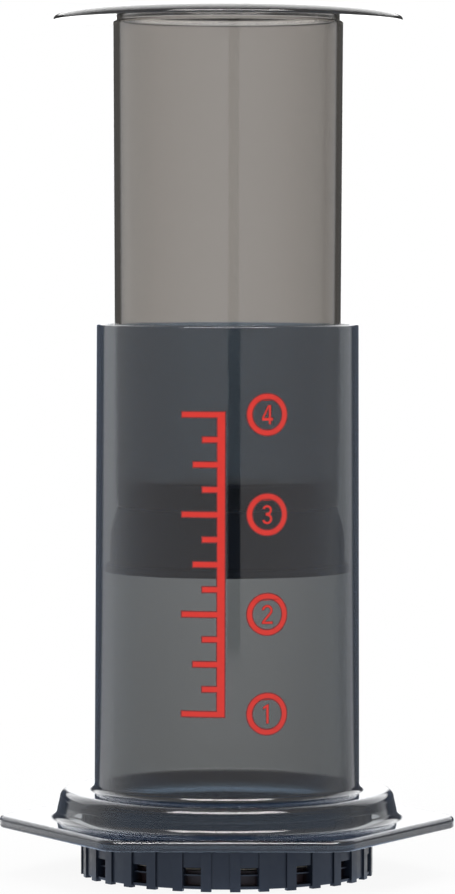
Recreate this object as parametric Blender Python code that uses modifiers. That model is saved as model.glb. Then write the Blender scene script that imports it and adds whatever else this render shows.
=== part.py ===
"""A piston coffee press: a clear tube chamber with a hexagonal flange, a twist-on filter cap
with its paper disc, and a hollow plunger that pushes a rubber seal down the bore.

Units are metres and +Z is up. The press stands on the feet of its filter cap at z = 0, with its
axis on the Z axis. The plunger is drawn part of the way down, as it stands in use.
"""

import math

import bmesh
import bpy
from mathutils import Matrix

# Fits shared by neighbouring pieces
rest_gap = 0.0003
weld_distance = 0.00001
round_steps = 60
corner_steps = 3

# Bore and tube of the chamber, which set most other radii
bore_radius = 0.0292
rim_wall = 0.0018
tube_draft = 0.0004
tube_length = 0.1119
tube_root_fillet = 0.0009
rim_rounding = 0.0005
spigot_wall = 0.0017
spigot_chamfer = 0.0005

# Bayonet: lugs on the chamber's spigot, hooks in the cap
bayonet_count = 4
lug_depth = 0.0012
lug_height = 0.0016
lug_lift = 0.0018
hook_height = 0.0020
hook_span_share = 0.30
stop_span_share = 0.03
root_overlap = 0.0005

# Filter cap
foot_height = 0.0005
drip_depth = 0.0019
floor_thickness = 0.0020
cap_wall = 0.0018
cap_lip = 0.0046
cap_rounding = 0.0005
rib_depth = 0.00045
window_count = 16
window_sill = 0.0007
window_height = 0.0043
window_undercut = 0.0014
drip_ring_width = 0.0030
window_share = 0.31
rib_share = 0.178
ribs_per_window = 2
hole_radius = 0.0012
hole_pitch = 0.0055
hole_sides = 6
hole_border = 0.0040

# Paper filter
paper_thickness = 0.0002
paper_margin = 0.0013

# Collar and hexagonal flange of the chamber
collar_head_gap = 0.0011
collar_side_gap = 0.0036
collar_wall = 0.0014
collar_draft = 0.0008
collar_depth = 0.0049
collar_rounding = 0.0009
collar_foot_fillet = 0.0005
shoulder_width = 0.0062
shoulder_height = 0.0016
shoulder_rounding = 0.0005
web_thickness = 0.0019
flange_ledge = 0.0072
flange_thickness = 0.0027
flange_corner = 0.0070
flange_lip = 0.0001
flange_corner_steps = 6

# Rubber seal
seal_travel_left = 0.0658
seal_dome = 0.0010
seal_floor = 0.0045
lip_height = 0.0019
lip_rounding = 0.0004
lip_step = 0.0011
dome_shares = (0.75, 0.45)
seal_body_height = 0.0047
seal_flare_height = 0.0085
seal_top_step = 0.0025

# Plunger
plunger_gap = 0.00265
plunger_draft = 0.0006
plunger_wall = 0.0017
plunger_taper = 0.0043
press_clearance = 0.0058
press_flange_width = 0.0141
press_flange_thickness = 0.0030
press_rim_width = 0.01225
press_rim_lip = 0.0003
press_root_fillet = 0.0006
mouth_rounding = 0.0006
seal_neck_wall = 0.0050
boss_wall = 0.0018
boss_head_step = 0.0020
boss_head_height = 0.0030

# Printed dose marks and measuring scale on the chamber
print_thickness = 0.0002
first_mark_height = 0.0223
mark_spacing = 0.02307
mark_count = 4
mark_angle = math.radians(17.2)
ring_radius = 0.0048
ring_stroke = 0.0014
ring_steps = 28
digit_height = 0.0046
scale_angle = math.radians(-4.5)
scale_spine_width = 0.0020
scale_tick_width = 0.0015
scale_long_tick = 0.0085
scale_middle_tick = 0.0058
scale_short_tick = 0.0036
ticks_per_mark = 4

# Plain numerals as shares of their height: straight corners, and bowls as centre, outer and
# inner radius
numeral_middle_share = 0.30
one_shares = ((0.23, 0), (0.23, 0.79), (0.07, 0.71), (0.07, 0.87), (0.28, 1), (0.40, 1), (0.40, 0))
two_bowl_shares = (0.30, 0.70, 0.30, 0.14)
two_foot_shares = ((0.22, 0.16), (0.60, 0.16), (0.60, 0), (0, 0), (0, 0.14))
three_top_shares = (0.29, 0.73, 0.27, 0.115)
three_low_shares = (0.29, 0.285, 0.285, 0.13)
three_arm_share = 0.19
four_shares = (
    (0.35, 0), (0.35, 0.20), (0, 0.20), (0, 0.36), (0.32, 1), (0.51, 1),
    (0.51, 0.36), (0.61, 0.36), (0.61, 0.20), (0.51, 0.20), (0.51, 0),
)
four_hole_shares = ((0.16, 0.36), (0.35, 0.36), (0.35, 0.75))
bowl_steps = 9

# Colours as red, green, blue
smoke_colour = (0.23, 0.22, 0.21)
seal_colour = (0.035, 0.038, 0.045)
cap_colour = (0.020, 0.028, 0.042)
paper_colour = (0.72, 0.68, 0.60)
print_colour = (0.76, 0.042, 0.022)

# Radii worked out from the bore outwards
rim_radius = bore_radius + rim_wall
tube_root_radius = rim_radius + tube_draft
spigot_radius = bore_radius + spigot_wall
lug_radius = spigot_radius + lug_depth
cap_inner_radius = lug_radius + rest_gap
cap_panel_radius = cap_inner_radius + cap_wall
cap_radius = cap_panel_radius + rib_depth
hook_radius = spigot_radius + rest_gap
drip_ring_radius = cap_inner_radius - drip_ring_width
window_depth_radius = cap_inner_radius - window_undercut
paper_radius = cap_inner_radius - paper_margin
recess_top_radius = cap_radius + collar_side_gap
recess_mouth_radius = recess_top_radius + collar_draft
collar_top_radius = recess_top_radius + collar_wall
collar_mouth_radius = recess_mouth_radius + collar_wall
collar_foot_radius = collar_mouth_radius + collar_foot_fillet
flange_apothem = collar_mouth_radius + flange_ledge
shoulder_radius = tube_root_radius + shoulder_width

# Heights worked out from the feet upwards
ring_bottom = foot_height
floor_bottom = foot_height + drip_depth
floor_top = floor_bottom + floor_thickness
paper_bottom = floor_top + rest_gap
paper_top = paper_bottom + paper_thickness
spigot_bottom = paper_top + rest_gap
lug_bottom = spigot_bottom + lug_lift
lug_top = lug_bottom + lug_height
hook_bottom = lug_top + rest_gap
hook_top = hook_bottom + hook_height
cap_top = hook_top + cap_lip
window_bottom = ring_bottom + window_sill
window_top = window_bottom + window_height
web_bottom = cap_top + collar_head_gap
web_top = web_bottom + web_thickness
shoulder_top = web_top + shoulder_height
flange_top = web_top - collar_depth
flange_bottom = flange_top - flange_thickness
flange_middle = flange_bottom + flange_thickness / 2
rim_top = web_top + tube_length

# Seal and plunger, worked out from how far the plunger still has to go
pressed_bottom = paper_top + rest_gap
seal_bottom = pressed_bottom + seal_travel_left
lip_bottom = seal_bottom + seal_dome
lip_top = lip_bottom + lip_height
seal_body_top = lip_top + seal_body_height
seal_top = seal_body_top + seal_flare_height
lip_radius = bore_radius - rest_gap
seal_body_radius = lip_radius - lip_step
seal_top_radius = seal_body_radius - seal_top_step
boss_radius = seal_top_radius - seal_neck_wall - rest_gap
boss_head_radius = boss_radius + boss_head_step
boss_bottom = lip_bottom + seal_floor + rest_gap
boss_head_top = boss_bottom + boss_head_height
boss_floor = boss_bottom + boss_wall
plunger_foot = seal_top + rest_gap
plunger_taper_top = plunger_foot + plunger_taper
plunger_foot_radius = bore_radius - plunger_gap
plunger_top_radius = plunger_foot_radius + plunger_draft
press_flange_radius = plunger_top_radius + press_flange_width
press_flange_bottom = rim_top + press_clearance + seal_travel_left
press_flange_top = press_flange_bottom + press_flange_thickness
mouth_radius = plunger_top_radius - plunger_wall

# Angles of the cap's pattern and of the bayonet
window_pitch = 2 * math.pi / window_count
window_angle = window_pitch * window_share
rib_angle = window_pitch * rib_share
window_turn = math.radians(8.9)
rib_pitch = window_pitch / ribs_per_window
bayonet_pitch = 2 * math.pi / bayonet_count
hook_angle = bayonet_pitch * hook_span_share
stop_angle = bayonet_pitch * stop_span_share
stop_turn = (hook_angle + stop_angle) / 2 + rest_gap / spigot_radius
lug_angle = 2 * stop_turn + stop_angle + 2 * rest_gap / spigot_radius


def clear_scene():
    for obj in list(bpy.data.objects):
        bpy.data.objects.remove(obj, do_unlink=True)


def new_collection(name):
    collection = bpy.data.collections.new(name)
    bpy.context.scene.collection.children.link(collection)
    return collection


def new_material(name, colour, roughness, alpha=1.0, transmission=0.0):
    material = bpy.data.materials.new(name)
    material.use_nodes = True
    shader = material.node_tree.nodes["Principled BSDF"]
    shader.inputs["Base Color"].default_value = (*colour, 1.0)
    shader.inputs["Roughness"].default_value = roughness
    shader.inputs["Metallic"].default_value = 0.0
    shader.inputs["Alpha"].default_value = alpha
    shader.inputs["Transmission Weight"].default_value = transmission
    material.diffuse_color = (*colour, alpha)
    return material


def finish(obj, material, collection):
    """Give the object its material, its collection and smooth shading with sharp corners."""
    obj.data.materials.clear()
    obj.data.materials.append(material)
    for other in list(obj.users_collection):
        other.objects.unlink(obj)
    collection.objects.link(obj)
    obj.data.shade_smooth()
    obj.data.set_sharp_from_angle(angle=math.radians(35))
    return obj


def as_cutter(obj, collection):
    for other in list(obj.users_collection):
        other.objects.unlink(obj)
    collection.objects.link(obj)
    obj.hide_render = True
    obj.display_type = "WIRE"
    return obj


def arc(centre, radii, start, end, steps=corner_steps):
    """Points on an ellipse's arc about (radius, height) centre, from start to end in degrees."""
    points = []
    for step in range(steps + 1):
        angle = math.radians(start + (end - start) * step / steps)
        points.append(
            (centre[0] + radii[0] * math.cos(angle), centre[1] + radii[1] * math.sin(angle))
        )
    return points


def turned(name, outline, closed=True):
    """Turn an outline of (radius, height) points, outer side down, about the Z axis."""
    shape = bmesh.new()
    corners = [shape.verts.new((radius, 0, height)) for radius, height in outline]
    for first, second in zip(corners, corners[1:]):
        shape.edges.new((first, second))
    if closed:
        shape.edges.new((corners[-1], corners[0]))
    mesh = bpy.data.meshes.new(name)
    shape.to_mesh(mesh)
    shape.free()
    obj = bpy.data.objects.new(name, mesh)
    bpy.context.scene.collection.objects.link(obj)
    screw = obj.modifiers.new("Turn", "SCREW")
    screw.steps = round_steps
    screw.render_steps = round_steps
    screw.use_merge_vertices = True
    screw.merge_threshold = weld_distance
    screw.use_smooth_shade = True
    return obj


def flat_mesh(name, outlines, thickness):
    """Fill outlines of (x, y) points, each one after the first a hole, half above z = 0."""
    curve = bpy.data.curves.new(name, "CURVE")
    curve.dimensions = "2D"
    curve.fill_mode = "BOTH"
    curve.extrude = thickness / 2
    for outline in outlines:
        spline = curve.splines.new("POLY")
        spline.points.add(len(outline) - 1)
        for point, (x, y) in zip(spline.points, outline):
            point.co = (x, y, 0, 1)
        spline.use_cyclic_u = True
    guide = bpy.data.objects.new(name, curve)
    bpy.context.scene.collection.objects.link(guide)
    graph = bpy.context.evaluated_depsgraph_get()
    mesh = bpy.data.meshes.new_from_object(guide.evaluated_get(graph))
    bpy.data.objects.remove(guide)
    shape = bmesh.new()
    shape.from_mesh(mesh)
    bmesh.ops.remove_doubles(shape, verts=shape.verts, dist=weld_distance / 10)
    bmesh.ops.recalc_face_normals(shape, faces=shape.faces)
    shape.to_mesh(mesh)
    shape.free()
    return mesh


def circle(radius, steps, centre=(0, 0)):
    step = 2 * math.pi / steps
    return [
        (centre[0] + radius * math.cos(i * step), centre[1] + radius * math.sin(i * step))
        for i in range(steps)
    ]


def sector(inner, outer, middle, width, steps):
    """The outline of a piece of a ring, width radians wide about the angle middle."""
    angles = [middle - width / 2 + width * step / steps for step in range(steps + 1)]
    outside = [(outer * math.cos(a), outer * math.sin(a)) for a in angles]
    inside = [(inner * math.cos(a), inner * math.sin(a)) for a in reversed(angles)]
    return outside + inside


def blocks(name, outlines, bottom, top):
    """One object holding a flat-topped block on each outline, clear of each other."""
    joined = bmesh.new()
    for outline in outlines:
        block = flat_mesh(name, [outline], top - bottom)
        joined.from_mesh(block)
        bpy.data.meshes.remove(block)
    mesh = bpy.data.meshes.new(name)
    joined.to_mesh(mesh)
    joined.free()
    mesh.transform(Matrix.Translation((0, 0, (bottom + top) / 2)))
    obj = bpy.data.objects.new(name, mesh)
    bpy.context.scene.collection.objects.link(obj)
    return obj


def join(obj, other, operation, cutters):
    """Keep a Boolean between the object and a hidden helper as a modifier."""
    modifier = obj.modifiers.new(other.name, "BOOLEAN")
    modifier.operation = operation
    modifier.solver = "EXACT"
    modifier.object = as_cutter(other, cutters)


def build_filter_cap(parts, cutters):
    """A ribbed cup with a perforated floor, windows round its foot and hooks inside."""
    outline = [(0, floor_top), (cap_inner_radius, floor_top)]
    outline += [(cap_inner_radius, cap_top - cap_rounding)]
    outline += [(cap_inner_radius + cap_rounding, cap_top)]
    corner = (cap_panel_radius - cap_rounding, cap_top - cap_rounding)
    outline += arc(corner, (cap_rounding, cap_rounding), 90, 0)
    outline += [(cap_panel_radius, ring_bottom + cap_rounding)]
    outline += [(cap_panel_radius - cap_rounding, ring_bottom)]
    outline += [(drip_ring_radius, ring_bottom), (drip_ring_radius, floor_bottom)]
    outline += [(0, floor_bottom)]
    cap = turned("filter_cap", outline, closed=False)

    windows = [
        sector(
            window_depth_radius,
            cap_radius + rib_depth,
            window_turn + i * window_pitch,
            window_angle,
            2,
        )
        for i in range(window_count)
    ]
    join(cap, blocks("cap_windows", windows, window_bottom, window_top), "DIFFERENCE", cutters)

    ribs = [
        sector(
            cap_panel_radius - cap_wall / 2,
            cap_radius,
            window_turn + (i + 1 / 2) * rib_pitch,
            rib_angle,
            2,
        )
        for i in range(window_count * ribs_per_window)
    ]
    rib_top = cap_top - cap_rounding
    join(cap, blocks("cap_ribs", ribs, 0, rib_top), "UNION", cutters)

    hooks = [
        sector(
            hook_radius,
            cap_inner_radius + root_overlap,
            i * bayonet_pitch,
            hook_angle,
            4,
        )
        for i in range(bayonet_count)
    ]
    join(cap, blocks("cap_hooks", hooks, hook_bottom, hook_top), "UNION", cutters)

    holes = [circle(hole_radius, hole_sides, centre) for centre in hole_centres()]
    over = floor_thickness / 2
    perforation = blocks("cap_holes", holes, floor_bottom - over, floor_top + over)
    join(cap, perforation, "DIFFERENCE", cutters)
    finish(cap, new_material("cap_plastic", cap_colour, 0.42), parts)


def hole_centres():
    """Centres of a triangular pattern of holes that fits inside the floor's plain border."""
    reach = bore_radius - hole_border + hole_radius
    row_pitch = hole_pitch * math.sqrt(3) / 2
    rows = int(reach / row_pitch) + 1
    columns = int(reach / hole_pitch) + 1
    centres = []
    for row in range(-rows, rows + 1):
        for column in range(-columns, columns + 1):
            x = (column + (row % 2) / 2) * hole_pitch
            y = row * row_pitch
            if math.hypot(x, y) + hole_radius < reach:
                centres.append((x, y))
    return centres


def build_paper_filter(parts):
    """A thin disc between the cap's floor and the end of the chamber."""
    bpy.ops.mesh.primitive_cylinder_add(
        vertices=round_steps,
        radius=paper_radius,
        depth=paper_thickness,
        location=(0, 0, (paper_bottom + paper_top) / 2),
    )
    paper = bpy.context.object
    paper.name = "paper_filter"
    finish(paper, new_material("filter_paper", paper_colour, 0.9), parts)


def hexagon(apothem, corner, steps):
    """A hexagon with round corners, one corner on +X."""
    points = []
    reach = (apothem - corner) / math.cos(math.pi / 6)
    for side in range(6):
        middle = side * math.pi / 3
        x, y = reach * math.cos(middle), reach * math.sin(middle)
        for step in range(steps + 1):
            angle = middle + math.pi / 3 * (step / steps - 0.5)
            points.append((x + corner * math.cos(angle), y + corner * math.sin(angle)))
    return points


def chamber_outline():
    tube_foot = shoulder_top + tube_root_fillet
    outline = arc(
        (rim_radius - rim_rounding, rim_top - rim_rounding), (rim_rounding, rim_rounding), 90, 0
    )
    outline += arc(
        (tube_root_radius + tube_root_fillet, tube_foot),
        (tube_root_fillet, tube_root_fillet),
        180,
        270,
        5,
    )
    outline += arc(
        (shoulder_radius - shoulder_rounding, shoulder_top - shoulder_rounding),
        (shoulder_rounding, shoulder_rounding),
        90,
        0,
    )
    outline += [(shoulder_radius, web_top)]
    outline += arc(
        (collar_top_radius - collar_rounding, web_top - collar_rounding),
        (collar_rounding, collar_rounding),
        90,
        0,
    )
    outline += arc(
        (collar_foot_radius, flange_top + flange_lip + collar_foot_fillet),
        (collar_foot_fillet, collar_foot_fillet),
        180,
        270,
    )
    outline += [(collar_foot_radius, flange_middle), (recess_mouth_radius, flange_middle)]
    step_radius = shoulder_radius - web_thickness
    step_top = web_bottom + shoulder_height
    outline += [(recess_top_radius, web_bottom), (step_radius, web_bottom)]
    outline += [(step_radius, step_top), (spigot_radius, step_top)]
    outline += [(spigot_radius, spigot_bottom + spigot_chamfer)]
    outline += [(spigot_radius - spigot_chamfer, spigot_bottom), (bore_radius, spigot_bottom)]
    outline += [(bore_radius, rim_top - rim_rounding), (bore_radius + rim_rounding, rim_top)]
    return outline


def build_chamber(parts, cutters):
    """The bore, the collar that covers the cap, the hexagonal flange and the bayonet lugs."""
    chamber = turned("chamber", chamber_outline())
    outside = hexagon(flange_apothem, flange_corner, flange_corner_steps)
    inside = circle((recess_mouth_radius + collar_foot_radius) / 2, round_steps)
    plate = flat_mesh("flange_plate", [outside, inside], flange_thickness)
    plate.transform(Matrix.Translation((0, 0, flange_middle)))
    flange = bpy.data.objects.new("flange_plate", plate)
    bpy.context.scene.collection.objects.link(flange)
    join(chamber, flange, "UNION", cutters)

    root = spigot_radius - root_overlap
    lugs = [
        sector(root, lug_radius, i * bayonet_pitch, lug_angle, 4)
        for i in range(bayonet_count)
    ]
    join(chamber, blocks("chamber_lugs", lugs, lug_bottom, lug_top), "UNION", cutters)
    stops = [
        sector(root, lug_radius - rest_gap / 2, i * bayonet_pitch + stop_turn, stop_angle, 1)
        for i in range(bayonet_count)
    ]
    stop_bottom = lug_top - lug_height / 2
    join(chamber, blocks("chamber_stops", stops, stop_bottom, hook_top), "UNION", cutters)
    smoke = new_material("smoke_plastic_chamber", smoke_colour, 0.06, 0.55, 0.9)
    finish(chamber, smoke, parts)


def build_seal(parts):
    """A rubber cup that snaps over the plunger's boss and wipes the bore with its lip."""
    neck = boss_radius + rest_gap
    pocket = boss_head_radius + rest_gap
    pocket_floor = boss_bottom - rest_gap
    pocket_top = boss_head_top + rest_gap
    outline = [(0, pocket_floor), (pocket, pocket_floor), (pocket, pocket_top)]
    outline += [(neck, pocket_top), (neck, seal_top)]
    outline += [(seal_top_radius - lip_rounding, seal_top)]
    outline += [(seal_top_radius, seal_top - lip_rounding)]
    flare_steps = 3
    flare = seal_body_radius - seal_top_radius
    for step in range(1, flare_steps + 1):
        share = step / flare_steps
        height = seal_top - seal_flare_height * share
        outline.append((seal_top_radius + flare * math.sin(share * math.pi / 2), height))
    outline += [(seal_body_radius, lip_top + lip_rounding)]
    outline += [(lip_radius - lip_rounding, lip_top), (lip_radius, lip_top - lip_rounding)]
    outline += [(lip_radius, lip_bottom + lip_rounding), (lip_radius - lip_rounding, lip_bottom)]
    dome_edge = lip_radius - lip_rounding
    for share in dome_shares:
        depth = seal_dome * (1 - share * share)
        outline.append((dome_edge * share, lip_bottom - depth))
    outline.append((0, seal_bottom))
    seal = turned("seal", outline, closed=False)
    finish(seal, new_material("seal_rubber", seal_colour, 0.55), parts)


def build_plunger(parts):
    """A hollow piston rod, open at the top, with a hand flange and a boss for the seal."""
    boss_bore = boss_radius - boss_wall
    foot_bore = plunger_foot_radius - plunger_wall
    bore_foot = plunger_taper_top + plunger_wall
    outline = [(0, boss_floor), (boss_bore, boss_floor), (boss_bore, plunger_foot)]
    outline += [(foot_bore, bore_foot)]
    outline += [(mouth_radius, press_flange_top - mouth_rounding)]
    outline += [(mouth_radius + mouth_rounding, press_flange_top)]
    rim_centre = (press_flange_radius - press_rim_width, press_flange_bottom + press_rim_lip)
    rim_height = press_flange_thickness - press_rim_lip
    outline += arc(rim_centre, (press_rim_width, rim_height), 90, 0, 8)
    outline += [(press_flange_radius - press_rim_lip, press_flange_bottom)]
    fillet_centre = (
        plunger_top_radius + press_root_fillet,
        press_flange_bottom - press_root_fillet,
    )
    outline += arc(fillet_centre, (press_root_fillet, press_root_fillet), 90, 180, 4)
    outline += [(plunger_foot_radius, plunger_taper_top), (seal_top_radius, plunger_foot)]
    outline += [(boss_radius, plunger_foot), (boss_radius, boss_head_top)]
    outline += [(boss_head_radius, boss_head_top), (boss_head_radius, boss_bottom)]
    outline += [(0, boss_bottom)]
    plunger = turned("plunger", outline, closed=False)
    smoke = new_material("smoke_plastic_plunger", smoke_colour, 0.06, 0.55, 0.9)
    finish(plunger, smoke, parts)


def wall_radius(height):
    """The chamber's outer radius at a height, which grows with its draft."""
    share = (rim_top - height) / (rim_top - web_top)
    return rim_radius + tube_draft * share


def wrap_on_wall(mesh, angle, height):
    """Bend a flat print, drawn in x and y about the origin, onto the chamber's front."""
    for vertex in mesh.vertices:
        z = height + vertex.co.y
        wall = wall_radius(z)
        turn = angle + vertex.co.x / wall
        radius = wall + rest_gap + print_thickness / 2 + vertex.co.z
        vertex.co = (radius * math.sin(turn), -radius * math.cos(turn), z)


def print_object(name, mesh, angle, height, material, parts):
    wrap_on_wall(mesh, angle, height)
    obj = bpy.data.objects.new(name, mesh)
    bpy.context.scene.collection.objects.link(obj)
    finish(obj, material, parts)


def bowl(shares, inner, start, end):
    """Points round a numeral's bowl, in shares, on its outer or its inner side."""
    x, y, outer_radius, inner_radius = shares
    radius = inner_radius if inner else outer_radius
    return arc((x, y), (radius, radius), start, end, bowl_steps)


def numeral_outlines(number):
    """The outlines of a plain numeral from 1 to 4, in shares of its height."""
    if number == 1:
        return [one_shares]
    if number == 2:
        outer = bowl(two_bowl_shares, False, 180, -35)
        return [outer + list(two_foot_shares) + bowl(two_bowl_shares, True, -35, 180)]
    if number == 3:
        outer = bowl(three_top_shares, False, 170, -46) + bowl(three_low_shares, False, 50, -170)
        low = bowl(three_low_shares, True, -170, 90)
        top = bowl(three_top_shares, True, -90, 170)
        arm = [(three_arm_share, low[-1][1]), (three_arm_share, top[0][1])]
        return [outer + low + arm + top]
    return [four_shares, four_hole_shares]


def mark_height(number):
    return web_top + first_mark_height + (number - 1) * mark_spacing


def build_dose_marks(material, parts):
    """Ringed numerals, counted from the bottom up."""
    for number in range(1, mark_count + 1):
        ring = flat_mesh(
            "ring",
            [circle(ring_radius, ring_steps), circle(ring_radius - ring_stroke, ring_steps)],
            print_thickness,
        )
        outlines = [
            [((x - numeral_middle_share) * digit_height, (y - 1 / 2) * digit_height) for x, y in o]
            for o in numeral_outlines(number)
        ]
        numeral = flat_mesh("numeral", outlines, print_thickness)
        height = mark_height(number)
        print_object("dose_ring_" + str(number), ring, mark_angle, height, material, parts)
        print_object("dose_numeral_" + str(number), numeral, mark_angle, height, material, parts)


def comb_mesh(name, tick_reaches, tick_pitch):
    """A thin upright strip with a tick to its left at each pitch, in flat cells."""
    shape = bmesh.new()
    half = scale_tick_width / 2
    columns = [scale_spine_width, 0, -scale_short_tick, -scale_middle_tick, -scale_long_tick]
    rows = [
        tick * tick_pitch + side for tick in range(len(tick_reaches)) for side in (-half, half)
    ]
    corners = {}

    def corner(column, row):
        if (column, row) not in corners:
            place = (columns[column], rows[row], -print_thickness / 2)
            corners[column, row] = shape.verts.new(place)
        return corners[column, row]

    def cell(column, row):
        around = [(column, row), (column, row + 1), (column + 1, row + 1), (column + 1, row)]
        return shape.faces.new([corner(*place) for place in around])

    cells = [cell(0, row) for row in range(len(rows) - 1)]
    cells += [
        cell(column, 2 * tick)
        for tick, reach in enumerate(tick_reaches)
        for column in range(1, len(columns) - 1)
        if reach >= -columns[column + 1]
    ]
    grown = bmesh.ops.extrude_face_region(shape, geom=cells)
    moved = [item for item in grown["geom"] if isinstance(item, bmesh.types.BMVert)]
    bmesh.ops.translate(shape, verts=moved, vec=(0, 0, print_thickness))
    bmesh.ops.recalc_face_normals(shape, faces=shape.faces)
    mesh = bpy.data.meshes.new(name)
    shape.to_mesh(mesh)
    shape.free()
    return mesh


def build_measuring_scale(material, parts):
    """An upright line with a long tick at each dose and shorter ticks between."""
    reaches = []
    for tick in range((mark_count - 1) * ticks_per_mark + 1):
        if tick % ticks_per_mark == 0:
            reaches.append(scale_long_tick)
        elif tick % 2 == 0:
            reaches.append(scale_middle_tick)
        else:
            reaches.append(scale_short_tick)
    comb = comb_mesh("scale", reaches, mark_spacing / ticks_per_mark)
    print_object("measuring_scale", comb, scale_angle, mark_height(1), material, parts)


def main():
    clear_scene()
    parts = new_collection("piston_coffee_press")
    cutters = new_collection("cutters")
    build_filter_cap(parts, cutters)
    build_paper_filter(parts)
    build_chamber(parts, cutters)
    build_seal(parts)
    build_plunger(parts)
    ink = new_material("red_print", print_colour, 0.35)
    build_dose_marks(ink, parts)
    build_measuring_scale(ink, parts)


main()
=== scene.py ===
"""Looks for the piston coffee press: tinted clear plastic, rubber, dark cap, paper and ink."""

import math

import bmesh
import bpy
from mathutils import Matrix, Vector


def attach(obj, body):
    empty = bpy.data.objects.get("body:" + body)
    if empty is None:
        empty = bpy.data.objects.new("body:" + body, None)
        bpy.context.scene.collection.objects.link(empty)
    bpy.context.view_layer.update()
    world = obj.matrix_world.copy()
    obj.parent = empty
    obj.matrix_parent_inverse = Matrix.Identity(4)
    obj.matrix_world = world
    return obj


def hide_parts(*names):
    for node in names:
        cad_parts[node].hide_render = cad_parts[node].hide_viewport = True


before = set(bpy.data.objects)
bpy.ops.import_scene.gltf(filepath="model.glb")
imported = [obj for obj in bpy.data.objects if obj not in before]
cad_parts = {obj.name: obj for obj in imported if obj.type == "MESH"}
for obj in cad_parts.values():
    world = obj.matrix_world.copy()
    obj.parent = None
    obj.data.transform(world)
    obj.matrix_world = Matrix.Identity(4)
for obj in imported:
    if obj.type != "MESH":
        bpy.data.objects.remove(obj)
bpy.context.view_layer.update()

MM = 0.001
TURN = 2 * math.pi

# Sizes are in millimetres and follow the CAD model. Lathe rows are (radius, height).

# Chamber: tube
BORE = 29.2
BORE_ROUNDING = 0.4
RIM = 31.0
RIM_TOP = 130.4
RIM_ROUNDING = 0.5
TUBE_DRAFT = 0.4
TUBE_ROOT = RIM + TUBE_DRAFT
TUBE_FILLET = 1.5

# Chamber: collar on the plate, and the web inside it
COLLAR = 39.65
COLLAR_TOP = 20.1
COLLAR_ROUNDING = 2.0
COLLAR_FOOT = 42.1
COLLAR_FILLET = 1.8
WEB_TOP = 18.5
WEB_BOTTOM = 16.6

# Chamber: hexagonal plate
PLATE_SIDES = 6
PLATE_APOTHEM = 47.65
PLATE_CORNER = 7.0
PLATE_TOP = 13.6
PLATE_BOTTOM = 10.9
PLATE_TOP_ROUNDING = 0.95
PLATE_LOW_ROUNDING = 0.55
PLATE_ROUNDING_STEPS = 4
# The chamber's mesh is finer within so many degrees of each corner of the hexagon
FINE_DEGREES = 7
FINE_STEP_DEGREES = 0.5
COARSE_STEPS = 24

# Chamber: recess under the collar, and the groove round the spigot
RECESS_MOUTH = 39.05
RECESS_TOP = 38.25
RECESS_LIP_ROUNDING = 0.3
RECESS_FILLET = 0.6
GROOVE = 35.7
GROOVE_TOP = WEB_BOTTOM + 1.6
GROOVE_ROUNDING = 0.3

# Chamber: spigot, with the bayonet's lugs and stops
SPIGOT = 30.9
SPIGOT_BOTTOM = 5.2
SPIGOT_CHAMFER = 0.5
SPIGOT_FILLET = 0.4
SPIGOT_BORE_ROUNDING = 0.2
BAYONET_COUNT = 4
LUG = 32.1
LUG_BOTTOM = 7.0
LUG_TOP = 8.6
LUG_DEGREES = 34.6
LUG_ROOT = 0.5
STOP = LUG - 0.15
STOP_BOTTOM = 7.8
STOP_TOP = 10.9
STOP_DEGREES = 2.7
STOP_TURN_DEGREES = 15.41
STOP_ROOT = 0.4

# Plunger: hand flange, domed above and below, on a short neck
PLUNGER_TOP = 205.0
MOUTH = 25.45
MOUTH_ROUNDING = 0.6
HAND_FLANGE = 41.25
HAND_FLANGE_BOTTOM = 202.0
HAND_FLANGE_LIP = 0.3
HAND_DOME_WIDTH = 12.25
UNDERSIDE_END = 27.1
UNDERSIDE_RISE = 1.1
UNDERSIDE_STEPS = 8
NECK = 26.35
NECK_TOP = HAND_FLANGE_BOTTOM + UNDERSIDE_RISE
NECK_TOP_FILLET = 0.15
NECK_FOOT_FILLET = 0.1
PLUNGER_HEAD = 27.15
PLUNGER_HEAD_TOP = 201.85
PLUNGER_HEAD_ROUNDING = 0.5

# Plunger: hollow foot, and the boss that the seal snaps over
PLUNGER_FOOT = 87.4
HEEL = [(26.55, 91.7), (26.5, 90.4), (26.3, 87.9), (25.9, PLUNGER_FOOT)]
BORE_FOOT = 24.85
BORE_FOOT_HEIGHT = 93.8
BORE_FOOT_ROUNDING = 1.5
POCKET = 18.2
POCKET_FLOOR = 78.6
POCKET_FILLET = 0.6
POCKET_MOUTH_HEIGHT = 86.8
POCKET_MOUTH_ROUNDING = 0.8
BOSS_NECK = 20.0
BOSS_HEAD = 22.0
BOSS_HEAD_TOP = 79.8
BOSS_BOTTOM = 76.8
BOSS_CHAMFER = 0.2

# Seal
SEAL_GAP = 0.3
SEAL_TOP = PLUNGER_FOOT - SEAL_GAP
SEAL_HEAD = 26.2
SEAL_HEAD_ROUNDING = 0.4
FLARE_TOP = 86.3
FLARE_HEIGHT = 7.7
FLARE_GROWTH = 1.6
FLARE_STEPS = 10
SEAL_SKIRT = SEAL_HEAD + FLARE_GROWTH
LIP = 29.12
LIP_TOP = 73.9
LIP_BOTTOM = 72.0
LIP_ROUNDING = 0.5
SEAL_DOME = 28.6
SEAL_DOME_DEPTH = 1.0
SEAL_DOME_SHARES = (0.9, 0.75, 0.6, 0.45, 0.3, 0.15)

# Cap: wall, standing ring and floor
CAP_IN = 32.4
CAP_WALL = 34.2
CAP_TOP = 15.5
CAP_ROUNDING = 0.4
RING_IN = 29.4
RING_BOTTOM = 0.5
RING_IN_ROUNDING = 0.3
RING_OUT_ROUNDING = 0.35
FLOOR_TOP = 4.4
FLOOR_BOTTOM = 2.4
FLOOR_FILLET = 0.3

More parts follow.
